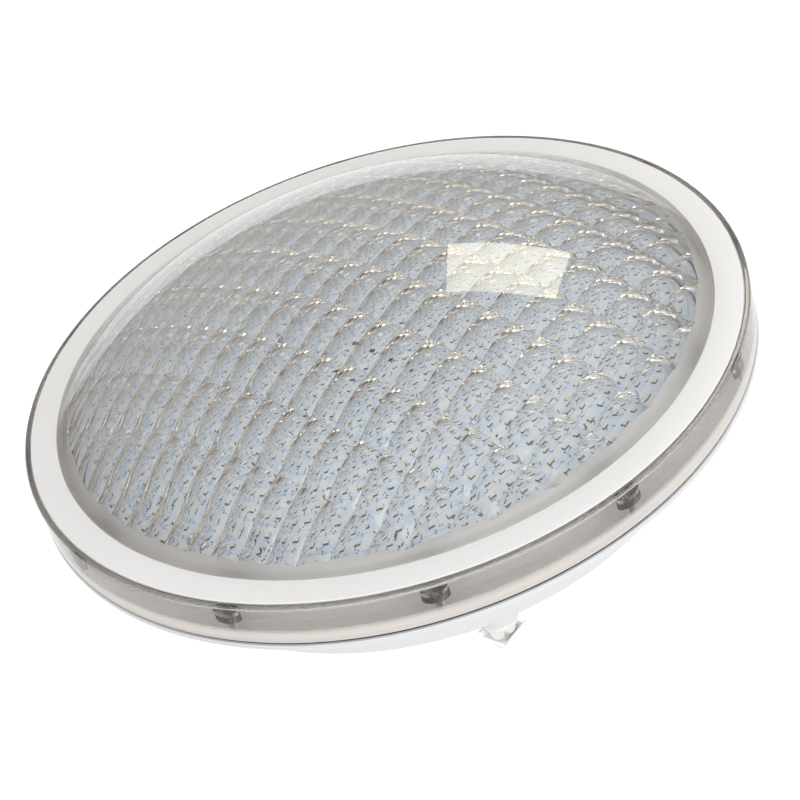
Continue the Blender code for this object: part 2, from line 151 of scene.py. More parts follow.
class Flow:
    """One output socket of a node tree; sums on it add Math nodes, and node() adds any other node."""

    def __init__(self, tree, socket):
        self.tree, self.socket = tree, socket

    def out(self, name):
        return Flow(self.tree, self.socket.node.outputs[name])

    @staticmethod
    def node(tree, kind, settings=None, sockets=None):
        n = tree.nodes.new(kind)
        for key, value in (settings or {}).items():
            if key == "stops":
                ramp = n.color_ramp
                while len(ramp.elements) < len(value):
                    ramp.elements.new(0.5)
                for e, (pos, col) in zip(ramp.elements, value):
                    e.position, e.color = pos, (*col, 1.0) if len(col) == 3 else col
            else:
                setattr(n, key, value)
        for key, value in (sockets or {}).items():
            if isinstance(key, int):
                s = n.inputs[key]
            else:
                s = next(i for i in n.inputs if key in (i.identifier, i.name) and i.enabled)
            if isinstance(value, Flow):
                tree.links.new(value.socket, s)
            elif hasattr(s.default_value, "__len__") and len(s.default_value) == 4 and len(value) == 3:
                s.default_value = (*value, 1.0)
            else:
                s.default_value = value
        return Flow(tree, next((o for o in n.outputs if o.enabled), None))

    def sum(self, how, *others):
        return Flow.node(self.tree, "ShaderNodeMath", {"operation": how}, dict(enumerate((self, *others))))

    def _flip(self, how, other):
        return Flow.node(self.tree, "ShaderNodeMath", {"operation": how}, {0: other, 1: self})

    def __add__(self, o): return self.sum("ADD", o)
    def __radd__(self, o): return self._flip("ADD", o)
    def __sub__(self, o): return self.sum("SUBTRACT", o)
    def __rsub__(self, o): return self._flip("SUBTRACT", o)
    def __mul__(self, o): return self.sum("MULTIPLY", o)
    def __rmul__(self, o): return self._flip("MULTIPLY", o)
    def __truediv__(self, o): return self.sum("DIVIDE", o)
    def __rtruediv__(self, o): return self._flip("DIVIDE", o)
    def __pow__(self, o): return self.sum("POWER", o)
    def __lt__(self, o): return self.sum("LESS_THAN", o)
    def __gt__(self, o): return self.sum("GREATER_THAN", o)


class Finish:
    """A Principled material and the few patterns its surfaces share."""

    def __init__(self, name, **constants):
        self.material = bpy.data.materials.new(name)
        self.material.use_nodes = True
        self.tree = self.material.node_tree
        self.shader = self.tree.nodes["Principled BSDF"]
        for key, value in constants.items():
            s = self.shader.inputs[key.replace("_", " ")]
            s.default_value = (*value, 1.0) if hasattr(value, "__len__") and len(s.default_value) == 4 else value
        self.place = self.node("ShaderNodeTexCoord").out("Object")

    def node(self, kind, settings=None, sockets=None):
        return Flow.node(self.tree, kind, settings, sockets)

    def noise(self, scale, detail=3.0, rough=0.5, place=None):
        return self.node("ShaderNodeTexNoise", None, {"Vector": place or self.place, "Scale": scale, "Detail": detail,
                                                      "Roughness": rough}).out("Fac")

    def blend(self, factor, a, b):
        return Flow(self.tree, self.node("ShaderNodeMix", {"data_type": "RGBA"},
                    {"Factor_Float": factor, "A_Color": a, "B_Color": b}).socket.node.outputs["Result"])

    def bump(self, height, strength, distance):
        return self.node("ShaderNodeBump", None, {"Height": height, "Strength": strength, "Distance": distance})

    def feed(self, **links):
        for key, value in links.items():
            self.tree.links.new(value.socket, self.shader.inputs[key.replace("_", " ")])
        return self.material


arc = [math.radians(a) for a in range(0, 71, 5)]
profile = [(BORE_R, LAND_TOP), (LAND_R, LAND_TOP, 0.15 * mm), (LAND_R, FLANGE_TOP, 0.1 * mm),
           (LIP_R, FLANGE_TOP, 0.2 * mm), (LIP_R, FLANGE_TOP - 0.40 * mm),
           (LIP_R - 0.12 * mm, FLANGE_TOP - 0.47 * mm), (LIP_R - 0.12 * mm, FLANGE_TOP - 0.55 * mm),
           (LIP_R, FLANGE_TOP - 0.62 * mm), (LIP_R, FLANGE_TOP - 1.1 * mm, 0.4 * mm),
           (LIP_R - 2.3 * mm, 0, 0.5 * mm)]
profile += [(DISH_R + 0.3 * mm, 0.0, 0.6 * mm), (DISH_R * math.cos(arc[1]), -DISH_H * math.sin(arc[1]))]
profile += [(DISH_R * math.cos(a), -DISH_H * math.sin(a)) for a in arc[2:]]
profile += [(HUB_R + 2.4 * mm, -DISH_H * 0.955), (HUB_R + 0.9 * mm, -DISH_H * 0.972),
            (HUB_R + 0.3 * mm, -DISH_H * 1.01), (HUB_R - 0.6 * mm, HUB_Z, 1.6 * mm), (14.0 * mm, HUB_Z),
            (13.6 * mm, HUB_Z + 0.4 * mm), (0, HUB_Z + 0.4 * mm), (0, HUB_Z + 3 * mm),
            (HUB_R - WALL - 1.2 * mm, HUB_Z + 3 * mm, 1.0 * mm), (HUB_R - WALL - 0.5 * mm, -DISH_H + WALL, 2 * mm)]
profile += [((DISH_R - WALL) * math.cos(a), -(DISH_H - WALL) * math.sin(a)) for a in arc[:0:-1]]
profile += [(BORE_R, 0)]
shell = lathe("rear_housing", profile, 180)

bm = bmesh.new()
for k in range(8):
    a = math.radians(22.5 + 45 * k)
    out, side = Vector((math.cos(a), math.sin(a), 0)), Vector((-math.sin(a), math.cos(a), 0))
    outline = [(20.6 * mm, -38.5 * mm), (20.6 * mm, -55.4 * mm), (22.0 * mm, -55.4 * mm), (24.6 * mm, -53.4 * mm),
               (50.5 * mm, -33.2 * mm), (53.5 * mm, -29.6 * mm), (51.0 * mm, -30.6 * mm), (40.0 * mm, -34.6 * mm),
               (30.0 * mm, -37.0 * mm)]
    thick = [1.25, 1.0, 1.0, 0.95, 0.95, 1.0, 1.25, 1.25, 1.25]
    sheets = [[bm.verts.new(out * r + Vector((0, 0, z)) + side * s * t * mm) for (r, z), t in zip(outline, thick)]
              for s in (1, -1)]
    bm.faces.new(sheets[0])
    bm.faces.new(sheets[1][::-1])
    for i in range(len(outline)):
        j = (i + 1) % len(outline)
        bm.faces.new((sheets[0][i], sheets[1][i], sheets[1][j], sheets[0][j]))
webs = settle("webs", bm)
bosses = [lathe(f"boss_{s}", [(0, HUB_Z + 1.5 * mm), (BOSS_R + 1.3 * mm, HUB_Z + 1.5 * mm),
                              (BOSS_R + 1.3 * mm, HUB_Z + 0.1 * mm), (BOSS_R + 0.35 * mm, HUB_Z - 1.0 * mm, 0.9 * mm),
                              (BOSS_R, BOSS_Z, 0.5 * mm), (0, BOSS_Z)],
                48, (s * POST_X, 0)) for s in (1, -1)]
joined(shell, [webs, *bosses], "UNION")
cuts = [lathe(f"stud_bore_{s}", [(0, BOSS_Z - 2 * mm), (2.8 * mm, BOSS_Z - 2 * mm), (2.8 * mm, HUB_Z + 9 * mm),
                                 (0, HUB_Z + 9 * mm)],
              32, (s * POST_X, 0)) for s in (1, -1)]
for k, a in enumerate(SCREW_TURNS):
    cuts.append(lathe(f"screw_well_{k}", [(0, 6 * mm), (1.6 * mm, 6 * mm), (1.6 * mm, HEAD_SEAT),
                                          (3.0 * mm, HEAD_SEAT), (3.0 * mm, 0.3 * mm), (3.4 * mm, -0.2 * mm),
                                          (3.4 * mm, -0.9 * mm), (0, -0.9 * mm)],
                      24, (SCREW_R * math.cos(a), SCREW_R * math.sin(a))))
joined(shell, cuts)

skin = Finish("white_shell_plastic", Roughness=0.42, Coat_Weight=0.0)
cloud = skin.noise(35.0, 4.0)
grain = skin.noise(2600.0, 2.0, 0.6)
skin.feed(Base_Color=skin.blend(cloud, tuple(0.97 * c for c in SHELL_GREY_PAINTED_SHADE), SHELL_GREY_PAINTED_SHADE),
          Roughness=0.36 + 0.14 * cloud, Normal=skin.bump(grain, 0.25, 0.05 * mm))
shell.data.materials.append(skin.material)
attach(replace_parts(shell, "rear_shell"), "lamp")

# =============================================================== seam seal
# A narrow black rubber ring outside the raised land. Only its edge shows, as the dark line under the clear rim.
# It is cut from an extruded strip, so its edge is square and slightly rough.
SEAL_IN = LAND_R + FIT
seal = lathe("seam_seal", [(SEAL_IN, SEAL_HIGH.z, 0.1 * mm), (SEAL_IN, SEAL_LOW.z, 0.1 * mm),
                           (SEAL_HIGH.x, SEAL_LOW.z, 0.15 * mm),
                           (SEAL_HIGH.x - 0.12 * mm, (SEAL_LOW.z + SEAL_HIGH.z) / 2),
                           (SEAL_HIGH.x, SEAL_HIGH.z, 0.15 * mm)], 180)
rubber = Finish("black_seal_rubber", Roughness=0.8)
speck = rubber.noise(900.0, 3.0)
rubber.feed(Base_Color=rubber.blend(speck, (0.012, 0.012, 0.013), (0.03, 0.03, 0.032)),
            Roughness=0.65 + 0.25 * speck, Normal=rubber.bump(speck, 0.4, 0.05 * mm))
seal.data.materials.append(rubber.material)
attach(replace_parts(seal, "rim_gasket"), "lamp")

# ================================================= heat plate and light board
# The light board is an aluminium disc with a bluish white coating, screwed over a bare stamped heat plate.
# Rings of small light chips are soldered on it, with dark plated holes and small resistors between them.
PLATE_LOW, PLATE_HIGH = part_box("heat_plate")
BOARD_LOW, BOARD_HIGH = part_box("led_board")
BOARD_T = 1.6 * mm
BOARD_TOP = BOARD_LOW.z + BOARD_T
RING_PITCH, RINGS = 6.9 * mm, 10
PLATE_SCREW_R, LEADS = (RINGS - 0.5) * RING_PITCH, ((3.5 * mm, -2.8 * mm), (0.7 * mm, -2.8 * mm))
plate = lathe("heat_spreader", [(0, PLATE_LOW.z), (PLATE_HIGH.x, PLATE_LOW.z, 0.3 * mm),
                                (PLATE_HIGH.x, PLATE_HIGH.z, 0.3 * mm), (0, PLATE_HIGH.z)], 180)
board = lathe("light_board", [(0, BOARD_LOW.z), (BOARD_HIGH.x, BOARD_LOW.z, 0.15 * mm),
                              (BOARD_HIGH.x, BOARD_TOP, 0.15 * mm), (0, BOARD_TOP)], 180)
for ob in (plate, board):
    tools = [lathe("lead_hole", [(0, -5 * mm), (1.2 * mm, -5 * mm), (1.2 * mm, 9 * mm), (0, 9 * mm)], 24, spot)
             for spot in LEADS]
    tools += [lathe(f"fixing_hole_{k}", [(0, -5 * mm), (1.5 * mm, -5 * mm), (1.5 * mm, 9 * mm), (0, 9 * mm)], 24,
                    (PLATE_SCREW_R * math.cos(a), PLATE_SCREW_R * math.sin(a)))
              for k, a in enumerate(math.radians(30 + 120 * k) for k in range(3))]
    joined(ob, tools)
metal = Finish("stamped_aluminium", Metallic=1.0, Roughness=0.38)
brushed = metal.node("ShaderNodeMapping", None, {"Vector": metal.place, "Scale": (1.0, 14.0, 1.0)})
streak = metal.noise(60.0, 5.0, 0.6, brushed)
metal.feed(Base_Color=metal.blend(streak, (0.66, 0.67, 0.69), (0.80, 0.81, 0.82)), Roughness=0.28 + 0.2 * streak,
           Normal=metal.bump(streak, 0.15, 0.05 * mm))
plate.data.materials.append(metal.material)
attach(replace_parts(plate, "heat_plate"), "lamp")

BOARD_WHITE = (0.92, 0.955, 0.99)
coat = Finish("board_coating", Roughness=0.35)
around = coat.node("ShaderNodeSeparateXYZ", None, {"Vector": coat.place})
radius = (around.out("X") * around.out("X") + around.out("Y") * around.out("Y")) ** 0.5
track = (radius / RING_PITCH).sum("FRACT").sum("SUBTRACT", 0.5).sum("ABSOLUTE") < 0.045
mottle = coat.node("ShaderNodeMapRange", None, {"Value": coat.noise(200.0, 3.0), "From Min": 0.38, "From Max": 0.62})
coating = coat.blend(mottle, (0.70, 0.84, 0.99), BOARD_WHITE)
coat.feed(Base_Color=coat.blend(track * 0.5, coating, (0.5, 0.6, 0.75)),
          Roughness=0.3 + 0.15 * mottle, Normal=coat.bump(track, 0.3, 0.05 * mm))
board.data.materials.append(coat.material)
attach(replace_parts(board, "led_board"), "lamp")

# ======================================================= light chips and pads
# Each chip is a moulded cup with a cream rim, holding pale yellow phosphor gel. Its dark side walls are partly the dark
# lead frame and partly painted shade, and the dark sheet under it, which sticks out on two sides only, is a painted
# shadow.
# Dark plated holes and small dark resistors lie in rings between the rings of chips.
CHIP_L, CHIP_W, CHIP_H = 2.3 * mm, 1.7 * mm, BOARD_HIGH.z - BOARD_TOP


def cup(bm):
    """Cup with dark walls that are partly painted shade, a pale rim, a sunk phosphor floor, and a dark sheet below that
    sticks out on two sides as a painted shadow.
    """
    h = CHIP_H - 0.02 * mm
    levels = [(CHIP_W / 2, CHIP_L / 2, 0.0), (CHIP_W / 2, CHIP_L / 2, h - 0.08 * mm),
              (CHIP_W / 2 - 0.05 * mm, CHIP_L / 2 - 0.05 * mm, h), (CHIP_W / 2 - 0.3 * mm, CHIP_L / 2 - 0.3 * mm, h),
              (CHIP_W / 2 - 0.42 * mm, CHIP_L / 2 - 0.42 * mm, h - 0.12 * mm)]
    rings = [[bm.verts.new((sx * a, sy * b, z)) for sx, sy in ((1, 1), (-1, 1), (-1, -1), (1, -1))]
             for a, b, z in levels]
    zone = bm.faces.layers.int.new("zone")
    for i, (a, b) in enumerate(zip(rings, rings[1:])):
        for k in range(4):
            bm.faces.new((a[k], a[(k + 1) % 4], b[(k + 1) % 4], b[k]))[zone] = 1 if i else 0
    bm.faces.new(rings[0][::-1])
    bm.faces.new(rings[-1])[zone] = 2
    # The dark slate sheet under the cup, offset to stick out on two sides only, is a painted shadow.
    bmesh.ops.create_cube(bm, size=1.0, matrix=Matrix.Translation((0.08 * mm, -0.08 * mm, 0.1 * mm))
                          @ Matrix.Diagonal((CHIP_W + 0.2 * mm, CHIP_L + 0.2 * mm, 0.18 * mm, 1.0)))


def pad_pair(bm):
    """Two low dark blocks side by side, with their top edges taken off."""
    for s in (1, -1):
        w, l, h, c = 0.18 * mm, 0.28 * mm, 0.25 * mm, 0.05 * mm
        low = [bm.verts.new((s * 0.5 * mm + sx * w, sy * l, 0)) for sx, sy in ((1, 1), (-1, 1), (-1, -1), (1, -1))]
        mid = [bm.verts.new((v.co.x, v.co.y, h - c)) for v in low]
        top = [bm.verts.new((s * 0.5 * mm + sx * (w - c), sy * (l - c), h))
               for sx, sy in ((1, 1), (-1, 1), (-1, -1), (1, -1))]
        for a, b in ((low, mid), (mid, top)):
            for k in range(4):
                bm.faces.new((a[k], a[(k + 1) % 4], b[(k + 1) % 4], b[k]))
        bm.faces.new(low[::-1])
        bm.faces.new(top)


cream = Finish("chip_rim_plastic", Roughness=0.35)
tint = cream.noise(700.0, 2.0)
cream.feed(Base_Color=cream.blend(tint, (0.88, 0.86, 0.80), (0.93, 0.92, 0.87)))
gel = Finish("phosphor_gel", Roughness=0.25)
tint = gel.noise(500.0, 2.0)
gel.feed(Base_Color=gel.blend(tint, (0.88, 0.83, 0.66), (0.93, 0.89, 0.74)))
# Dark slate for the plated holes and resistors, and for the chip side walls and the sheet under each chip, where it is
# painted shade.
slate_and_painted_shade = Finish("slate_parts_and_painted_chip_shade", Roughness=0.4)
tint = slate_and_painted_shade.noise(900.0, 2.0)
slate_and_painted_shade.feed(Base_Color=slate_and_painted_shade.blend(tint, (0.012, 0.018, 0.05), (0.04, 0.055, 0.11)))
chip_parts = []
for name, build in (("chip_template", cup), ("pad_template", pad_pair)):
    bm = bmesh.new()
    build(bm)
    chip_parts.append(settle(name, bm, 25))


def geometry_tree(name, inputs):
    """A Geometry Nodes tree with named inputs; returns the tree, its input flows and the output socket."""
    tree = bpy.data.node_groups.new(name, "GeometryNodeTree")
    tree.interface.new_socket("Geometry", in_out="INPUT", socket_type="NodeSocketGeometry")
    tree.interface.new_socket("Geometry", in_out="OUTPUT", socket_type="NodeSocketGeometry")
    for label, kind in inputs:
        tree.interface.new_socket(label, in_out="INPUT", socket_type=kind)
    source = tree.nodes.new("NodeGroupInput")
    sink = tree.nodes.new("NodeGroupOutput")
    return tree, {o.name: Flow(tree, o) for o in source.outputs if o.name}, sink.inputs[0]


def grown(name, tree, values):
    """Runs the tree on a new object and returns the result as a plain mesh object."""
    ob = bpy.data.objects.new(name, bpy.data.meshes.new(name))
    bpy.context.scene.collection.objects.link(ob)
    mod = ob.modifiers.new("grow", "NODES")
    mod.node_group = tree
    for item in tree.interface.items_tree:
        if item.in_out == "INPUT" and item.name in values:
            mod[item.identifier] = values[item.name]
    bpy.context.view_layer.update()
    mesh = bpy.data.meshes.new_from_object(ob.evaluated_get(bpy.context.evaluated_depsgraph_get()))
    ob.modifiers.clear()
    ob.data = mesh
    return ob


# ring n holds n times Step parts, so the i-th part is on ring (1 + sqrt(1 + 8i / Step)) / 2
tree, given, sink = geometry_tree("parts_in_rings", [
    ("Rings", "NodeSocketInt"), ("Step", "NodeSocketFloat"), ("Pitch", "NodeSocketFloat"), ("Shift", "NodeSocketFloat"),
    ("Loose", "NodeSocketFloat"), ("Height", "NodeSocketFloat"), ("Seed", "NodeSocketInt"), ("Part", "NodeSocketObject"),
    ("Side", "NodeSocketMaterial"), ("Rim", "NodeSocketMaterial"), ("Middle", "NodeSocketMaterial")])
index = Flow.node(tree, "GeometryNodeInputIndex")
ring = (((index * 8.0 / given["Step"] + 1.0) ** 0.5 + 1.0) / 2 + 1e-4).sum("FLOOR")
slip = Flow.node(tree, "FunctionNodeRandomValue", {"data_type": "FLOAT"},
                 {"Min_001": -0.5, "Max_001": 0.5, "Seed": given["Seed"]})
slip = Flow(tree, slip.socket.node.outputs["Value"] if slip.socket.name != "Value" else slip.socket)
turn_by = (index - ring * (ring - 1.0) * given["Step"] / 2.0 + ring.sum("MODULO", 2.0) * 0.5
           + slip * given["Loose"]) / (ring * given["Step"])
turn_by = turn_by * (2 * math.pi)
reach = (ring + given["Shift"]) * given["Pitch"]
spot = Flow.node(tree, "ShaderNodeCombineXYZ", None, {
    "X": turn_by.sum("COSINE") * reach, "Y": turn_by.sum("SINE") * reach, "Z": given["Height"]})
places = Flow.node(tree, "GeometryNodePoints", None, {
    "Count": given["Rings"] * (given["Rings"] + 1.0) * given["Step"] / 2.0, "Position": spot})
copies = Flow.node(tree, "GeometryNodeInstanceOnPoints", None, {
    "Points": places,
    "Instance": Flow.node(tree, "GeometryNodeObjectInfo", None, {"Object": given["Part"]}).out("Geometry"),
    "Rotation": Flow.node(tree, "ShaderNodeCombineXYZ", None, {"Z": turn_by + slip * given["Loose"] * 3.0})})
solid = Flow.node(tree, "GeometryNodeRealizeInstances", None, {"Geometry": copies})
solid = Flow.node(tree, "GeometryNodeSetMaterial", None, {"Geometry": solid, "Material": given["Side"]})
zone = Flow.node(tree, "GeometryNodeInputNamedAttribute", {"data_type": "INT"}, {"Name": "zone"})
for number, label in ((1, "Rim"), (2, "Middle")):
    chosen = Flow.node(tree, "FunctionNodeCompare", {"data_type": "INT", "operation": "EQUAL"},
                       {"A_INT": zone, "B_INT": number})
    solid = Flow.node(tree, "GeometryNodeSetMaterial", None,
                      {"Geometry": solid, "Selection": chosen, "Material": given[label]})
tree.links.new(solid.socket, sink)
for name, part, rings, step, shift, loose in (("light_chips", chip_parts[0], RINGS, 6.0, 0.0, 0.0),
                                              ("plated_holes", chip_parts[1], RINGS - 1, 9.0, 0.5, 0.5),
                                              ("small_resistors", chip_parts[1], RINGS - 1, 8.0, 0.27, 0.9)):
    sown = grown(name, tree, {"Rings": rings, "Step": step, "Pitch": RING_PITCH, "Shift": shift, "Loose": loose,
                              "Height": BOARD_TOP, "Seed": 7 + rings, "Part": part, "Side": slate_and_painted_shade.material,
                              "Rim": cream.material, "Middle": gel.material})
    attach(sown, "lamp")
for ob in chip_parts:
    bpy.data.objects.remove(ob)
sleeve = Finish("black_lead_sleeve", Roughness=0.5)
tint = sleeve.noise(900.0, 2.0)
sleeve.feed(Base_Color=sleeve.blend(tint, (0.004, 0.004, 0.005), (0.015, 0.015, 0.016)),
            Roughness=0.4 + 0.2 * tint)
for k, spot in enumerate(LEADS, 1):
    cuff = lathe(f"lead_sleeve_{k}", [(0.82 * mm, BOARD_LOW.z), (1.15 * mm, BOARD_LOW.z),
                                      (1.15 * mm, BOARD_HIGH.z, 0.2 * mm), (0.82 * mm, BOARD_HIGH.z)], 24, spot)
    cuff.data.materials.append(sleeve.material)
    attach(cuff, "lamp")

# =============================================================== clear front
# One polycarbonate moulding: a smooth dome, a thick clear rim with a shelf for the white ring, and on the inside
# rows of small hollowed cells that spread the light. Twelve pockets in the rim hold the metal inserts.
LENS_LOW, LENS_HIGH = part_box("front_lens")
RING_LOW, RING_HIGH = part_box("trim_ring")
FACE_Z = RING_HIGH.z
RING_OUT, RING_IN = RING_HIGH.x, 80.4 * mm
RIM_R, RIM_BASE = LENS_HIGH.x, LENS_LOW.z
RISE = LENS_HIGH.z - FACE_Z
DOME_R = (RING_IN ** 2 + RISE ** 2) / (2 * RISE)
DOME_C = LENS_HIGH.z - DOME_R
PANE_R, LENS_T = 76.0 * mm, 3.4 * mm
CELL_X, CELL_Y, ROW_SHIFT = 6.38 * mm, 13.7 * mm, -0.7 * mm
SCOOP_X, SCOOP_Y = 0.8 * mm, 1.2 * mm
SHELF_Z = RING_LOW.z - FIT
profile = [(0, LENS_HIGH.z)]
profile += [(RING_IN * k / 40, math.sqrt(DOME_R ** 2 - (RING_IN * k / 40) ** 2) + DOME_C) for k in range(1, 40)]
profile += [(RING_IN - 0.15 * mm, FACE_Z + 0.15 * mm, 0.2 * mm), (RING_IN - 0.15 * mm, SHELF_Z),
            (RING_OUT + 0.15 * mm, SHELF_Z), (RING_OUT + 0.15 * mm, FACE_Z, 0.25 * mm),
            (RIM_R - 0.3 * mm, FACE_Z, 0.7 * mm), (RIM_R, RIM_BASE, 0.35 * mm), (0, RIM_BASE)]
front = lathe("clear_front", profile, 240)
across, along = 10, 14
cols, rows = int(PANE_R / CELL_X) + 2, int(PANE_R / CELL_Y) + 2
xs = (np.arange(across * 2 * cols + 1) / across - cols) * CELL_X
ys = (np.arange(along * 2 * rows + 1) / along - rows) * CELL_Y + ROW_SHIFT
X, Y = np.meshgrid(xs, ys)
u = X / CELL_X - 0.5 - np.round(X / CELL_X - 0.5)
v = (Y - ROW_SHIFT) / CELL_Y - 0.5 - np.round((Y - ROW_SHIFT) / CELL_Y - 0.5)
Z = np.sqrt((DOME_R - LENS_T) ** 2 - np.minimum(np.hypot(X, Y), PANE_R + 8 * mm) ** 2) + DOME_C
Z += SCOOP_X * (1 - 4 * u * u) + SCOOP_Y * (1 - 4 * v * v)
bm = bmesh.new()
grid = [[bm.verts.new(p) for p in zip(rx, ry, rz)] for rx, ry, rz in zip(X, Y, Z)]
for a, b in zip(grid, grid[1:]):
    for i in range(len(a) - 1):
        bm.faces.new((a[i], a[i + 1], b[i + 1], b[i]))
edge = grid[0] + [g[-1] for g in grid[1:]] + grid[-1][-2::-1] + [g[0] for g in grid[-2:0:-1]]
low = [bm.verts.new((v.co.x, v.co.y, RIM_BASE - 5 * mm)) for v in edge]
for k in range(len(edge)):
    n = (k + 1) % len(edge)
    bm.faces.new((edge[k], low[k], low[n], edge[n]))
bm.faces.new(low)
cells = settle("cells", bm)
drum = lathe("drum", [(0, RIM_BASE - 6 * mm), (PANE_R, RIM_BASE - 6 * mm), (PANE_R, FACE_Z + 40 * mm),
                      (0, FACE_Z + 40 * mm)], 240)
joined(cells, [drum], "INTERSECT")
joined(front, [cells], sharp=28)
INSERT_LOW, INSERT_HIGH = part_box("insert_01")
POCKET_LOW, POCKET_HIGH = INSERT_LOW.z + 0.1 * mm, INSERT_HIGH.z - 0.1 * mm
joined(front, [lathe(f"pocket_{k}", [(0, RIM_BASE - 2 * mm), (1.3 * mm, RIM_BASE - 2 * mm), (1.3 * mm, POCKET_LOW),
                                     (2.65 * mm, POCKET_LOW), (2.65 * mm, POCKET_HIGH), (0, POCKET_HIGH)], 32,
                     (SCREW_R * math.cos(a), SCREW_R * math.sin(a))) for k, a in enumerate(SCREW_TURNS)], sharp=28)
CLEAR_IOR = 1.585
clear = Finish("clear_polycarbonate", Roughness=0.0, IOR=CLEAR_IOR, Transmission_Weight=1.0)
haze = clear.noise(60.0, 3.0)
clear.feed(Base_Color=clear.blend(haze, (0.975, 0.975, 0.965), (0.99, 0.99, 0.985)))
frosted = Finish("frosted_inner_wall", IOR=CLEAR_IOR, Transmission_Weight=0.0)
flow_lines = frosted.node("ShaderNodeMapping", None, {"Vector": frosted.place, "Scale": (1.0, 1.0, 30.0)})
haze = frosted.noise(16.0, 5.0, 0.65, flow_lines)
frosted.feed(Base_Color=frosted.blend(haze, (0.82, 0.80, 0.78), (0.96, 0.95, 0.93)), Roughness=0.3 + 0.2 * haze)
skirt = Finish("satin_clear_rim", IOR=CLEAR_IOR, Transmission_Weight=1.0)
flow_lines = skirt.node("ShaderNodeMapping", None, {"Vector": skirt.place, "Scale": (1.0, 1.0, 40.0)})
haze = skirt.noise(14.0, 5.0, 0.65, flow_lines)
satin_low = skirt.node("ShaderNodeBsdfPrincipled", None, {
    "Roughness": 0.3, "Specular IOR Level": 0.6,
    "Base Color": skirt.blend(haze, (0.34, 0.32, 0.31), (0.60, 0.56, 0.51))})
level = skirt.node("ShaderNodeSeparateXYZ", None, {"Vector": skirt.place}).out("Z")
low = skirt.node("ShaderNodeMapRange", None, {
    "Value": level, "From Min": INSERT_LOW.z + 0.6 * mm, "From Max": INSERT_LOW.z - 0.8 * mm,
    "To Min": 0.0, "To Max": 0.9})
skirt.feed(Base_Color=skirt.blend(haze, (0.93, 0.90, 0.87), (0.99, 0.97, 0.93)), Roughness=0.03 + 0.08 * haze)
both = skirt.node("ShaderNodeMixShader", None, {
    0: low * (0.85 + 0.3 * haze), 1: Flow(skirt.tree, skirt.shader.outputs[0]), 2: satin_low})
skirt.tree.links.new(both.socket, skirt.tree.nodes["Material Output"].inputs["Surface"])
hollowed = Finish("clear_cells", Roughness=0.0, IOR=CLEAR_IOR, Transmission_Weight=1.0)
column = (hollowed.node("ShaderNodeSeparateXYZ", None, {"Vector": hollowed.place}).out("X") / CELL_X + 100.0).sum("FRACT")
ridge = hollowed.node("ShaderNodeMapRange", None, {
    "Value": (column - 0.5).sum("ABSOLUTE"), "From Min": 0.33, "From Max": 0.42})
# Along the ridges between cells the clear colour turns slightly darker and warmer: a painted shade. The fine bump there
# is a real surface texture.
hollowed.feed(Base_Color=hollowed.blend(ridge, (0.99, 0.99, 0.99), (0.96, 0.95, 0.93)),
              Normal=hollowed.bump(hollowed.noise(900.0, 2.0) * ridge, 0.7, 0.05 * mm))
for f in (clear, frosted, skirt, hollowed):
    front.data.materials.append(f.material)
for p in front.data.polygons:
    r, z = math.hypot(p.center.x, p.center.y), p.center.z
    steep = abs(p.normal.z) < 0.3
    on_wall = abs(r - PANE_R) < 0.3 * mm and steep
    if on_wall or abs(z - RIM_BASE) < 0.02 * mm or (abs(z - SHELF_Z) < 0.02 * mm and not steep):
        p.material_index = 1
    elif r > RIM_R - 0.35 * mm:
        p.material_index = 2
    elif r < PANE_R and p.normal.z < 0:
        p.material_index = 3
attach(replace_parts(front, "front_lens"), "lamp")

# ============================================================== white ring
# A flat white plastic ring, satin finished, snapped into the shelf of the clear rim, where it hides the tops of the
# metal inserts. Its edges are lightly rounded.
ring_ob = lathe("white_ring", [(RING_IN, RING_LOW.z), (RING_OUT, RING_LOW.z), (RING_OUT, FACE_Z, 0.25 * mm),
                               (RING_IN, FACE_Z, 0.25 * mm)], 240)
satin = Finish("satin_white_plastic", Roughness=0.4)
cloud = satin.noise(40.0, 4.0)
grain = satin.noise(3000.0, 2.0)
satin.feed(Base_Color=satin.blend(cloud, (0.71, 0.71, 0.712), (0.74, 0.74, 0.743)), Roughness=0.34 + 0.12 * cloud,
           Normal=satin.bump(grain, 0.15, 0.03 * mm))
ring_ob.data.materials.append(satin.material)
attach(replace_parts(ring_ob, "trim_ring"), "lamp")

# ========================================================== threaded inserts
# Turned metal bushes moulded into the clear rim: two knurled bands with a plain groove between them, and a bore down
# the middle for the rim screws.
bm = bmesh.new()
levels = []
height = INSERT_HIGH.z - INSERT_LOW.z
teeth = 22
for t, r, knurl, twist in ((0.0, 2.55, 0, 0), (0.04, 2.8, 1, 0), (0.20, 2.8, 1, .5), (0.36, 2.8, 1, 1),
                           (0.40, 2.4, 0, 1), (0.60, 2.4, 0, 1), (0.64, 2.8, 1, 0), (0.80, 2.8, 1, -.5),
                           (0.96, 2.8, 1, -1), (1.0, 2.6, 0, 0)):
    loop = []
    for k in range(2 * teeth):
        a = 2 * math.pi * (k + 2 * twist) / (2 * teeth)
        rr = (r + (0.12 if k % 2 else -0.1) * knurl) * mm
        loop.append(bm.verts.new((rr * math.cos(a), rr * math.sin(a), INSERT_LOW.z + t * height)))
    levels.append(loop)
for t in (1.0, 0.0):
    levels.append([bm.verts.new((1.5 * mm * math.cos(2 * math.pi * k / (2 * teeth)),
                                 1.5 * mm * math.sin(2 * math.pi * k / (2 * teeth)),
                                 INSERT_LOW.z + t * height)) for k in range(2 * teeth)])
for a, b in zip(levels, levels[1:] + levels[:1]):
    for k in range(2 * teeth):
        n = (k + 1) % (2 * teeth)
        bm.faces.new((a[k], a[n], b[n], b[k]))
bush = settle("bush_template", bm, 25)
plated = Finish("knurled_plating", Metallic=1.0, Roughness=0.35)
wear = plated.noise(800.0, 3.0)
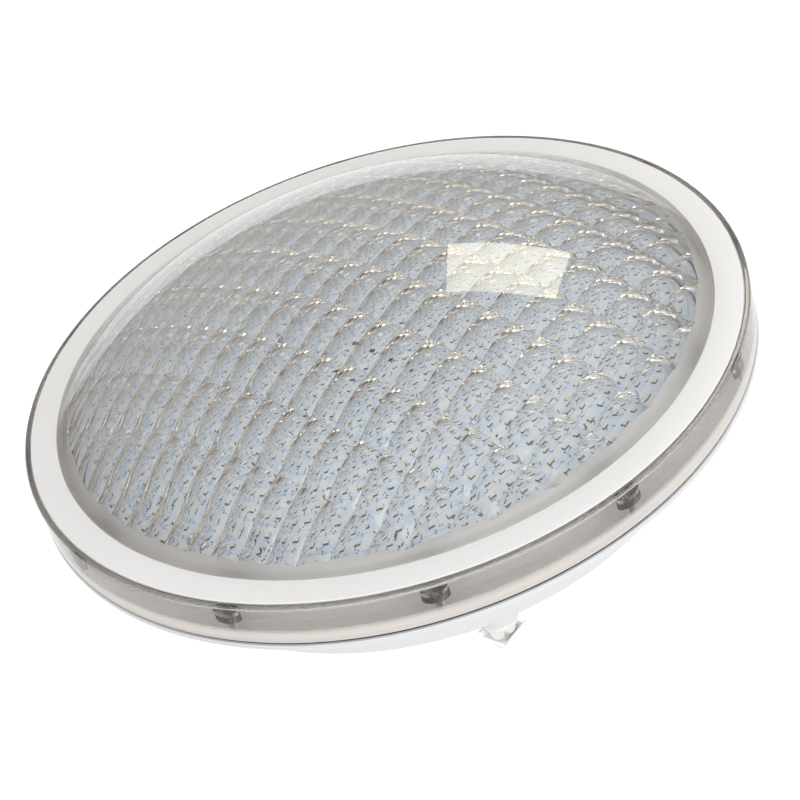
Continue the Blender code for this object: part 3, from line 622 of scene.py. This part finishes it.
plated.feed(Base_Color=plated.blend(wear, (0.05, 0.04, 0.035), (0.24, 0.21, 0.18)), Roughness=0.3 + 0.2 * wear)
tree, given, sink = geometry_tree("ring_of_parts", [("Count", "NodeSocketInt"), ("Radius", "NodeSocketFloat"),
                                                    ("First", "NodeSocketFloat"), ("Part", "NodeSocketObject"),
                                                    ("Finish", "NodeSocketMaterial")])
turn_by = Flow.node(tree, "GeometryNodeInputIndex") / given["Count"] * (2 * math.pi) + given["First"]
spot = Flow.node(tree, "ShaderNodeCombineXYZ", None, {"X": turn_by.sum("COSINE") * given["Radius"],
                                                      "Y": turn_by.sum("SINE") * given["Radius"]})
places = Flow.node(tree, "GeometryNodePoints", None, {"Count": given["Count"], "Position": spot})
copies = Flow.node(tree, "GeometryNodeInstanceOnPoints", None, {
    "Points": places,
    "Instance": Flow.node(tree, "GeometryNodeObjectInfo", None, {"Object": given["Part"]}).out("Geometry"),
    "Rotation": Flow.node(tree, "ShaderNodeCombineXYZ", None, {"Z": turn_by})})
solid = Flow.node(tree, "GeometryNodeRealizeInstances", None, {"Geometry": copies})
solid = Flow.node(tree, "GeometryNodeSetMaterial", None, {"Geometry": solid, "Material": given["Finish"]})
tree.links.new(solid.socket, sink)
bushes = grown("rim_bushes", tree, {"Count": SCREWS, "Radius": SCREW_R, "First": SCREW_TURNS[0], "Part": bush,
                                    "Finish": plated.material})
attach(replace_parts(bushes, *[f"insert_{k:02d}" for k in range(1, 13)]), "lamp")
bpy.data.objects.remove(bush)

# ================================================================ rim screws
# Twelve pan head steel screws driven from behind through the flange into the inserts. Each head has a cross recess,
# and no two recesses point the same way.
HEAD_Z = HEAD_SEAT - FIT
shank = lathe("rim_screw_template", [(0, SCREW_HIGH.z), (1.2 * mm, SCREW_HIGH.z, 0.3 * mm), (1.2 * mm, HEAD_Z),
                                     (2.7 * mm, HEAD_Z), (2.7 * mm, HEAD_Z - 1.0 * mm, 0.35 * mm),
                                     (1.9 * mm, SCREW_LOW.z, 0.6 * mm), (0, SCREW_LOW.z)], 32)


def cross_recess(ob, width, length, depth, tip, at=(0.0, 0.0)):
    """Sinks a cross of the given blade width and length into the head of ob from below."""
    bm = bmesh.new()
    for turned in (0, 1):
        w, l = (width, length) if turned else (length, width)
        blade = Matrix.Translation((at[0], at[1], tip)) @ Matrix.Diagonal((w, l, 2 * depth, 1.0))
        slab = bmesh.ops.create_cube(bm, size=1.0, matrix=blade)
        for v in slab["verts"]:
            if v.co.z > tip:
                v.co.x, v.co.y = at[0] + (v.co.x - at[0]) * 0.7, at[1] + (v.co.y - at[1]) * 0.7
    tool = settle("recess_tool", bm)
    mod = ob.modifiers.new("recess", "BOOLEAN")
    mod.object, mod.solver, mod.use_self = tool, "EXACT", True
    mesh = bpy.data.meshes.new_from_object(ob.evaluated_get(bpy.context.evaluated_depsgraph_get()))
    ob.modifiers.clear()
    ob.data = mesh
    mesh.shade_smooth()
    mesh.set_sharp_from_angle(angle=math.radians(30))
    bpy.data.objects.remove(tool)


cross_recess(shank, 0.7 * mm, 2.6 * mm, 0.9 * mm, SCREW_LOW.z)
steel = Finish("screw_steel", Metallic=1.0)
wear = steel.noise(600.0, 4.0)
steel.feed(Base_Color=steel.blend(wear, (0.50, 0.50, 0.51), (0.68, 0.68, 0.69)), Roughness=0.22 + 0.2 * wear,
           Normal=steel.bump(wear, 0.1, 0.02 * mm))
tree, given, sink = geometry_tree("screws_round", [("Count", "NodeSocketInt"), ("Radius", "NodeSocketFloat"),
                                                   ("First", "NodeSocketFloat"), ("Seed", "NodeSocketInt"),
                                                   ("Part", "NodeSocketObject"), ("Finish", "NodeSocketMaterial")])
turn_by = Flow.node(tree, "GeometryNodeInputIndex") / given["Count"] * (2 * math.pi) + given["First"]
spot = Flow.node(tree, "ShaderNodeCombineXYZ", None, {"X": turn_by.sum("COSINE") * given["Radius"],
                                                      "Y": turn_by.sum("SINE") * given["Radius"]})
places = Flow.node(tree, "GeometryNodePoints", None, {"Count": given["Count"], "Position": spot})
drive = Flow.node(tree, "FunctionNodeRandomValue", {"data_type": "FLOAT"},
                  {"Min_001": 0.0, "Max_001": 1.57, "Seed": given["Seed"]})
copies = Flow.node(tree, "GeometryNodeInstanceOnPoints", None, {
    "Points": places,
    "Instance": Flow.node(tree, "GeometryNodeObjectInfo", None, {"Object": given["Part"]}).out("Geometry"),
    "Rotation": Flow.node(tree, "ShaderNodeCombineXYZ", None, {"Z": drive})})
solid = Flow.node(tree, "GeometryNodeRealizeInstances", None, {"Geometry": copies})
solid = Flow.node(tree, "GeometryNodeSetMaterial", None, {"Geometry": solid, "Material": given["Finish"]})
tree.links.new(solid.socket, sink)
rim_screws = grown("rim_screws", tree, {"Count": SCREWS, "Radius": SCREW_R, "First": SCREW_TURNS[0], "Seed": 3,
                                        "Part": shank, "Finish": steel.material})
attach(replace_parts(rim_screws, *[f"rim_screw_{k:02d}" for k in range(1, 13)]), "lamp")
bpy.data.objects.remove(shank)

# ====================================================== parts inside the shell
# The driver board with its cans, choke and chips, the leads and the small screws stand as the CAD shapes. Each gets
# the finish of the real part: green solder mask, dark sleeved aluminium cans, black moulded packages, enamelled wire,
# soft leads.
mask = Finish("green_solder_mask", Roughness=0.3)
lanes = mask.node("ShaderNodeTexVoronoi", {"feature": "DISTANCE_TO_EDGE"},
                  {"Vector": mask.place, "Scale": 230.0}).out("Distance")
mask.feed(Base_Color=mask.blend(lanes < 0.06, (0.012, 0.12, 0.05), (0.02, 0.2, 0.09)),
          Roughness=0.25 + 0.2 * (lanes < 0.06), Normal=mask.bump(lanes < 0.06, 0.3, 0.04 * mm))
moulded = Finish("black_moulded_package", Roughness=0.5)
tint = moulded.noise(1500.0, 3.0)
moulded.feed(Base_Color=moulded.blend(tint, (0.015, 0.015, 0.016), (0.04, 0.04, 0.042)),
             Roughness=0.4 + 0.25 * tint)
can = Finish("sleeved_can", Roughness=0.35)
tint = can.noise(300.0, 3.0)
can.feed(Base_Color=can.blend(tint, (0.015, 0.02, 0.05), (0.03, 0.04, 0.09)), Roughness=0.28 + 0.15 * tint)
winding = Finish("enamelled_wire", Metallic=0.8)
turns = winding.node("ShaderNodeTexWave", {"bands_direction": "Z"}, {"Vector": winding.place, "Scale": 700.0}).out("Fac")
winding.feed(Base_Color=winding.blend(turns, (0.25, 0.08, 0.02), (0.6, 0.26, 0.09)), Roughness=0.25 + 0.3 * turns,
             Normal=winding.bump(turns, 0.6, 0.2 * mm))
leads = {}
for slot, low, high in (("lead_black", (0.012, 0.012, 0.012), (0.035, 0.035, 0.035)),
                        ("lead_white", (0.7, 0.7, 0.67), (0.8, 0.8, 0.77))):
    leads[slot] = Finish(slot + "_sleeve", Roughness=0.45)
    tint = leads[slot].noise(400.0, 3.0)
    leads[slot].feed(Base_Color=leads[slot].blend(tint, low, high), Roughness=0.38 + 0.2 * tint)
for node, finish in (("driver_board", mask), ("rectifier", moulded), ("control_chip", moulded), ("switch_transistor", moulded),
                     ("capacitor_1", can), ("capacitor_2", can), ("choke", winding), ("led_lead_1", leads["lead_black"]),
                     ("led_lead_2", leads["lead_black"]), ("input_lead_1", leads["lead_white"]),
                     ("input_lead_2", leads["lead_white"]),
                     ("driver_screw_1", steel), ("driver_screw_2", steel), ("driver_screw_3", steel),
                     ("plate_screw_1", steel), ("plate_screw_2", steel), ("plate_screw_3", steel)):
    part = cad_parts[node]
    part.data.materials.clear()
    part.data.materials.append(finish.material)

# ============================================================ rear terminals
# Two turned, nickel plated posts stand in the bosses on white silicone seals. A moulded white nylon saddle clamp and
# a pan head screw with a cross recess hold a supply wire against the end of each post; they back out together.
COLLAR_Z = BOSS_Z - 1.0 * mm
SEAT_Z = COLLAR_Z - 5.0 * mm
CLAMP_T = 1.2 * mm
nickel = Finish("nickel_plating", Metallic=1.0)
wear = nickel.noise(500.0, 4.0)
nickel.feed(Base_Color=nickel.blend(wear, (0.74, 0.73, 0.70), (0.86, 0.85, 0.82)), Roughness=0.16 + 0.14 * wear,
            Normal=nickel.bump(wear, 0.08, 0.02 * mm))
nylon = Finish("white_nylon", Roughness=0.4)
cloud = nylon.noise(300.0, 3.0)
nylon.feed(Base_Color=nylon.blend(cloud, (0.84, 0.84, 0.83), (0.88, 0.88, 0.87)), Roughness=0.34 + 0.15 * cloud,
           Normal=nylon.bump(cloud, 0.2, 0.03 * mm))
silicone = Finish("white_silicone", Roughness=0.6)
cloud = silicone.noise(700.0, 3.0)
silicone.feed(Base_Color=silicone.blend(cloud, (0.80, 0.80, 0.78), (0.86, 0.86, 0.84)), Roughness=0.5 + 0.2 * cloud)
for k, side in ((1, 1), (2, -1)):
    at = (side * POST_X, 0.0)
    seat_ring = lathe(f"post_seal_{k}", [(2.9 * mm, BOSS_Z - 0.1 * mm), (4.9 * mm, BOSS_Z - 0.1 * mm, 0.25 * mm),
                                         (4.9 * mm, COLLAR_Z + 0.1 * mm, 0.25 * mm), (2.9 * mm, COLLAR_Z + 0.1 * mm)], 48, at)
    seat_ring.data.materials.append(silicone.material)
    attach(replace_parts(seat_ring, f"terminal_seal_{k}"), "lamp")
    post = lathe(f"turned_post_{k}", [(0, HUB_Z + 11.5 * mm), (2.3 * mm, HUB_Z + 11.5 * mm, 0.4 * mm), (2.3 * mm, COLLAR_Z),
                                      (4.85 * mm, COLLAR_Z, 0.2 * mm), (4.85 * mm, COLLAR_Z - 1.4 * mm, 0.3 * mm),
                                      (4.15 * mm, COLLAR_Z - 1.6 * mm), (4.15 * mm, SEAT_Z, 0.3 * mm),
                                      (2.0 * mm, SEAT_Z, 0.1 * mm), (2.0 * mm, SEAT_Z + 9.5 * mm),
                                      (0, SEAT_Z + 10 * mm)], 48, at)
    post.data.materials.append(nickel.material)
    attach(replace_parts(post, f"terminal_post_{k}"), "lamp")
    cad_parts[f"post_nut_{k}"].data.materials.clear()
    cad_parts[f"post_nut_{k}"].data.materials.append(nickel.material)

    bm = bmesh.new()
    outline = [(-5.2, 2.4), (-5.2, 0.5), (-4.7, 0.0), (4.7, 0.0), (5.2, 0.5), (5.2, 2.4), (4.95, 2.6), (4.3, 2.6),
               (4.3, 1.5), (4.0, 1.2), (-4.0, 1.2), (-4.3, 1.5), (-4.3, 2.6), (-4.95, 2.6)]
    low = SEAT_Z - 0.2 * mm - CLAMP_T
    ends = [[bm.verts.new((at[0] + x * mm, y * mm, low + z * mm)) for x, z in outline] for y in (-4.5, 4.5)]
    bm.faces.new(ends[0])
    bm.faces.new(ends[1][::-1])
    for i in range(len(outline)):
        j = (i + 1) % len(outline)
        bm.faces.new((ends[0][i], ends[1][i], ends[1][j], ends[0][j]))
    saddle = settle(f"wire_saddle_{k}", bm, 30)
    joined(saddle, [lathe("saddle_hole", [(0, low - mm), (2.3 * mm, low - mm), (2.3 * mm, low + 4 * mm),
                                          (0, low + 4 * mm)], 32, at)], sharp=30)
    saddle.modifiers.new("edges", "BEVEL").width = 0.12 * mm
    saddle.modifiers["edges"].limit_method = "ANGLE"
    saddle.data.materials.append(nylon.material)
    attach(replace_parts(saddle, f"wire_clamp_{k}"), f"terminal_{k}")

    under = low - 0.2 * mm
    tip = under - 2.80 * mm
    screw = lathe(f"clamp_screw_{k}", [(0, SEAT_Z + 7.9 * mm), (1.3 * mm, SEAT_Z + 7.6 * mm),
                                       (1.6 * mm, SEAT_Z + 7.2 * mm), (1.6 * mm, under),
                                       (3.85 * mm, under, 0.15 * mm), (3.85 * mm, under - 1.8 * mm, 0.5 * mm),
                                       (2.6 * mm, under - 2.70 * mm, 0.8 * mm), (0, tip)], 48, at)
    cross_recess(screw, 1.0 * mm, 4.6 * mm, 1.3 * mm, tip, at)
    screw.data.materials.append(nickel.material)
    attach(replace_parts(screw, f"terminal_screw_{k}"), f"terminal_{k}")

# ============================================================ camera and studio
# White floor, a softly graded bright room with one dark patch overhead, a cream softbox behind the lamp that shows on
# the dome, and a broad white one beside the camera.
camera = bpy.data.objects.new("camera", bpy.data.cameras.new("camera"))
bpy.context.scene.collection.objects.link(camera)
right, up = Vector((0.773228, 0.581756, -0.252346)), Vector((-0.213639, 0.613665, 0.760114))
facing = Matrix((right, up, right.cross(up))).transposed().to_4x4()
camera.matrix_world = Matrix.Translation((0.25226, -0.2246, 0.24624)) @ facing
camera.data.lens, camera.data.sensor_width = 77.1, 36.0
camera.data.clip_start, camera.data.clip_end = 0.01, 50.0
bpy.context.scene.camera = camera

floor_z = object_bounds()[0].z - 0.0005
bm = bmesh.new()
bmesh.ops.create_grid(bm, x_segments=1, y_segments=1, size=4.0, matrix=Matrix.Translation((0, 0, floor_z)))
floor = settle("studio_floor", bm)
paper = Finish("white_paper", Roughness=0.9, Emission_Color=(1, 1, 1), Emission_Strength=0.68)
paper.feed(Base_Color=paper.blend(paper.noise(3.0), (0.40, 0.40, 0.40), (0.42, 0.42, 0.42)))
floor.data.materials.append(paper.material)

world = bpy.data.worlds.new("room")
bpy.context.scene.world = world
world.use_nodes = True
heading = Flow.node(world.node_tree, "ShaderNodeSeparateXYZ", None, {
    "Vector": Flow.node(world.node_tree, "ShaderNodeTexCoord").out("Generated")})
side = heading.out("X") * 0.48 - heading.out("Y") * 0.15 + 0.5
room_tones = [(0.24, (0.26, 0.24, 0.22)), (0.5, (0.52, 0.515, 0.515)), (0.78, (0.97, 0.985, 1.0))]
sky = Flow.node(world.node_tree, "ShaderNodeValToRGB", {"stops": room_tones}, {"Fac": side})
towards = heading.out("X") * -0.42 + heading.out("Y") * 0.3 + heading.out("Z") * 0.85
shade = Flow.node(world.node_tree, "ShaderNodeMapRange", None, {
    "Value": towards, "From Min": 0.86, "From Max": 0.96})
sky = Flow(world.node_tree, Flow.node(world.node_tree, "ShaderNodeMix", {"data_type": "RGBA"}, {
    "Factor_Float": shade, "A_Color": sky, "B_Color": (0.06, 0.04, 0.025)}).socket.node.outputs["Result"])
room = world.node_tree.nodes["Background"]
world.node_tree.links.new(sky.socket, room.inputs["Color"])
room.inputs["Strength"].default_value = 1.85


def softbox(name, place, across, along, size, power, colour=(1, 1, 1)):
    light = bpy.data.lights.new(name, "AREA")
    light.shape, light.size, light.size_y = "RECTANGLE", *size
    light.energy, light.color = power, colour
    ob = bpy.data.objects.new(name, light)
    bpy.context.scene.collection.objects.link(ob)
    across, along = Vector(across).normalized(), Vector(along)
    face = across.cross(along - across * along.dot(across)).normalized()
    if face.dot(Vector(place)) < 0:
        across, face = -across, -face
    ob.matrix_world = Matrix.Translation(place) @ Matrix((across, face.cross(across), face)).transposed().to_4x4()


softbox("front_box", (0.84, -0.72, 0.50), (0.65, 0.76, 0), (-0.3, 0.26, 0.9), (0.8, 0.4), 3.0)
softbox("back_box", (-0.196, 0.655, 0.617), (0.846, 0.492, -0.207), (-0.407, 0.528, -0.745), (0.292, 0.257), 1.1,
        (1.0, 0.93, 0.70))

bpy.context.scene.view_settings.view_transform = "Standard"
bpy.context.scene.cycles.max_bounces = 32
bpy.context.scene.cycles.transmission_bounces = 32
bpy.context.scene.cycles.glossy_bounces = 16
